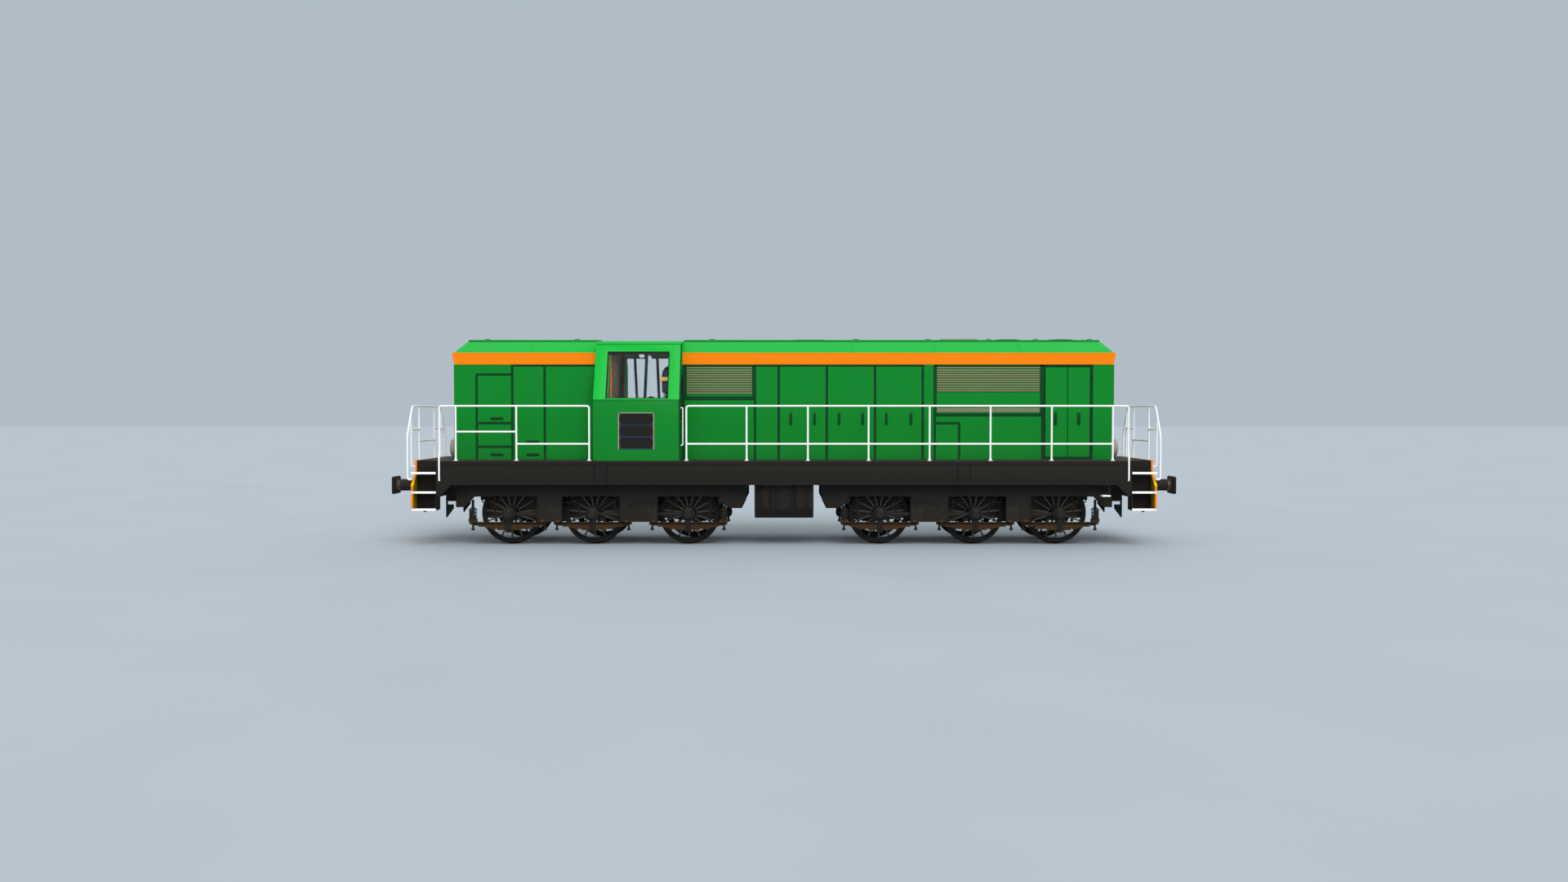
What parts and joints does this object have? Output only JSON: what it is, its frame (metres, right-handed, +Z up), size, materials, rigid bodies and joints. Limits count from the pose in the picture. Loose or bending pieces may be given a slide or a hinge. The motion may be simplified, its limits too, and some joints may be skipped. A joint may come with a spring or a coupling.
{
  "type": "six-axle diesel locomotive with end steps",
  "caption": "Diesel locomotive with a cab between a short and a long hood, side walkways, handrails, corner steps, buffers and two three-axle bogies with spoked wheels",
  "frame": {"origin": "on the standing surface, at the lowest point of the wheel flanges, midway between the buffer faces and midway between the wheels", "axes": "+X along the track to the long hood's end, +Y to the left, +Z up"},
  "size_m": [17, 3.1024, 4.515],
  "materials": {
    "underframe_paint": "matt dark grey-brown paint",
    "running_gear": "dark grey oily paint",
    "spring_steel": "rust-brown weathered spring steel",
    "wheel_steel": "dark weathered steel, spoked",
    "hood_green": "green gloss paint",
    "roof_green": "lighter green gloss paint",
    "band_orange": "orange gloss paint",
    "rail_white": "white paint on tube",
    "louvre_paint": "dusty brown-grey paint",
    "frame_black": "black window frame paint",
    "window_glass": "clear flat glass",
    "cabinet_olive": "olive-grey satin paint",
    "seat_black": "black vinyl upholstery",
    "lamp_grey": "light grey lamp housing",
    "engine_grey": "plain grey machinery paint"
  },
  "bodies": {
    "root": {"buffers_and_hooks": "running_gear", "cab_glass": "window_glass", "cab_lower": "hood_green", "cab_upper": "roof_green", "cab_window_frames": "frame_black", "centre_bearings": "running_gear", "control_desk": "frame_black", "corner_steps": "underframe_paint", "cross_members": "underframe_paint", "deck": "underframe_paint", "driver_seat": "seat_black", "end_frames": "underframe_paint", "end_rails": "rail_white", "engine_block": "engine_grey", "equipment_cabinet": "cabinet_olive", "fuel_tank": "underframe_paint", "handrails": "rail_white", "headlamps": "lamp_grey", "headstocks": "band_orange", "hood_bands": "band_orange", "hood_roofs": "roof_green", "long_hood": "hood_green", "roof_hatch": "louvre_paint", "short_hood": "hood_green", "side_louvres": "louvre_paint", "side_sills": "underframe_paint"},
    "wheelset_1": {"axle_1": "wheel_steel", "wheels_1": "wheel_steel"},
    "wheelset_2": {"axle_2": "wheel_steel", "wheels_2": "wheel_steel"},
    "wheelset_3": {"axle_3": "wheel_steel", "wheels_3": "wheel_steel"},
    "wheelset_4": {"axle_4": "wheel_steel", "wheels_4": "wheel_steel"},
    "wheelset_5": {"axle_5": "wheel_steel", "wheels_5": "wheel_steel"},
    "wheelset_6": {"axle_6": "wheel_steel", "wheels_6": "wheel_steel"},
    "bogie_a": {"bogie_a_axle_boxes": "running_gear", "bogie_a_brakes": "running_gear", "bogie_a_frame": "running_gear", "bogie_a_springs": "spring_steel"},
    "bogie_b": {"bogie_b_axle_boxes": "running_gear", "bogie_b_brakes": "running_gear", "bogie_b_frame": "running_gear", "bogie_b_springs": "spring_steel"},
    "cab_door_left": {"cab_door_left": "hood_green"},
    "cab_door_right": {"cab_door_right": "hood_green"},
    "hood_door_left_1": {"hood_door_left_1": "hood_green"},
    "hood_door_left_2": {"hood_door_left_2": "hood_green"},
    "hood_door_right_1": {"hood_door_right_1": "hood_green"},
    "hood_door_right_2": {"hood_door_right_2": "hood_green"}
  },
  "joints": [
    {"name": "bogie_a_swivel", "type": "hinge", "parent": "root", "child": "bogie_a", "pos_m": [-4.025, 0, 1.23], "axis": [0, 0, 1], "range_deg": [-3, 3]},
    {"name": "bogie_b_swivel", "type": "hinge", "parent": "root", "child": "bogie_b", "pos_m": [4.025, 0, 1.23], "axis": [0, 0, 1], "range_deg": [-3, 3]},
    {"name": "wheelset_1_turn", "type": "hinge", "parent": "bogie_a", "child": "wheelset_1", "pos_m": [-5.97, 0, 0.675], "axis": [0, 1, 0], "continuous": true},
    {"name": "wheelset_2_turn", "type": "hinge", "parent": "bogie_a", "child": "wheelset_2", "pos_m": [-4.15, 0, 0.675], "axis": [0, 1, 0], "continuous": true},
    {"name": "wheelset_3_turn", "type": "hinge", "parent": "bogie_a", "child": "wheelset_3", "pos_m": [-2.08, 0, 0.675], "axis": [0, 1, 0], "continuous": true},
    {"name": "wheelset_4_turn", "type": "hinge", "parent": "bogie_b", "child": "wheelset_4", "pos_m": [2.08, 0, 0.675], "axis": [0, 1, 0], "continuous": true},
    {"name": "wheelset_5_turn", "type": "hinge", "parent": "bogie_b", "child": "wheelset_5", "pos_m": [4.15, 0, 0.675], "axis": [0, 1, 0], "continuous": true},
    {"name": "wheelset_6_turn", "type": "hinge", "parent": "bogie_b", "child": "wheelset_6", "pos_m": [5.97, 0, 0.675], "axis": [0, 1, 0], "continuous": true},
    {"name": "hood_door_right_1_hinge", "type": "hinge", "parent": "root", "child": "hood_door_right_1", "pos_m": [5.666, -0.94, 2.5], "axis": [0, 0, -1], "range_deg": [0, 110]},
    {"name": "hood_door_right_2_hinge", "type": "hinge", "parent": "root", "child": "hood_door_right_2", "pos_m": [6.674, -0.94, 2.5], "axis": [0, 0, 1], "range_deg": [0, 110]},
    {"name": "hood_door_left_1_hinge", "type": "hinge", "parent": "root", "child": "hood_door_left_1", "pos_m": [5.666, 0.94, 2.5], "axis": [0, 0, 1], "range_deg": [0, 110]},
    {"name": "hood_door_left_2_hinge", "type": "hinge", "parent": "root", "child": "hood_door_left_2", "pos_m": [6.674, 0.94, 2.5], "axis": [0, 0, -1], "range_deg": [0, 110]},
    {"name": "cab_door_right_hinge", "type": "hinge", "parent": "root", "child": "cab_door_right", "pos_m": [-2.21, -0.985, 2.5], "axis": [0, 0, 1], "range_deg": [0, 85]},
    {"name": "cab_door_left_hinge", "type": "hinge", "parent": "root", "child": "cab_door_left", "pos_m": [-4.07, 0.985, 2.5], "axis": [0, 0, 1], "range_deg": [0, 85]}
  ]
}
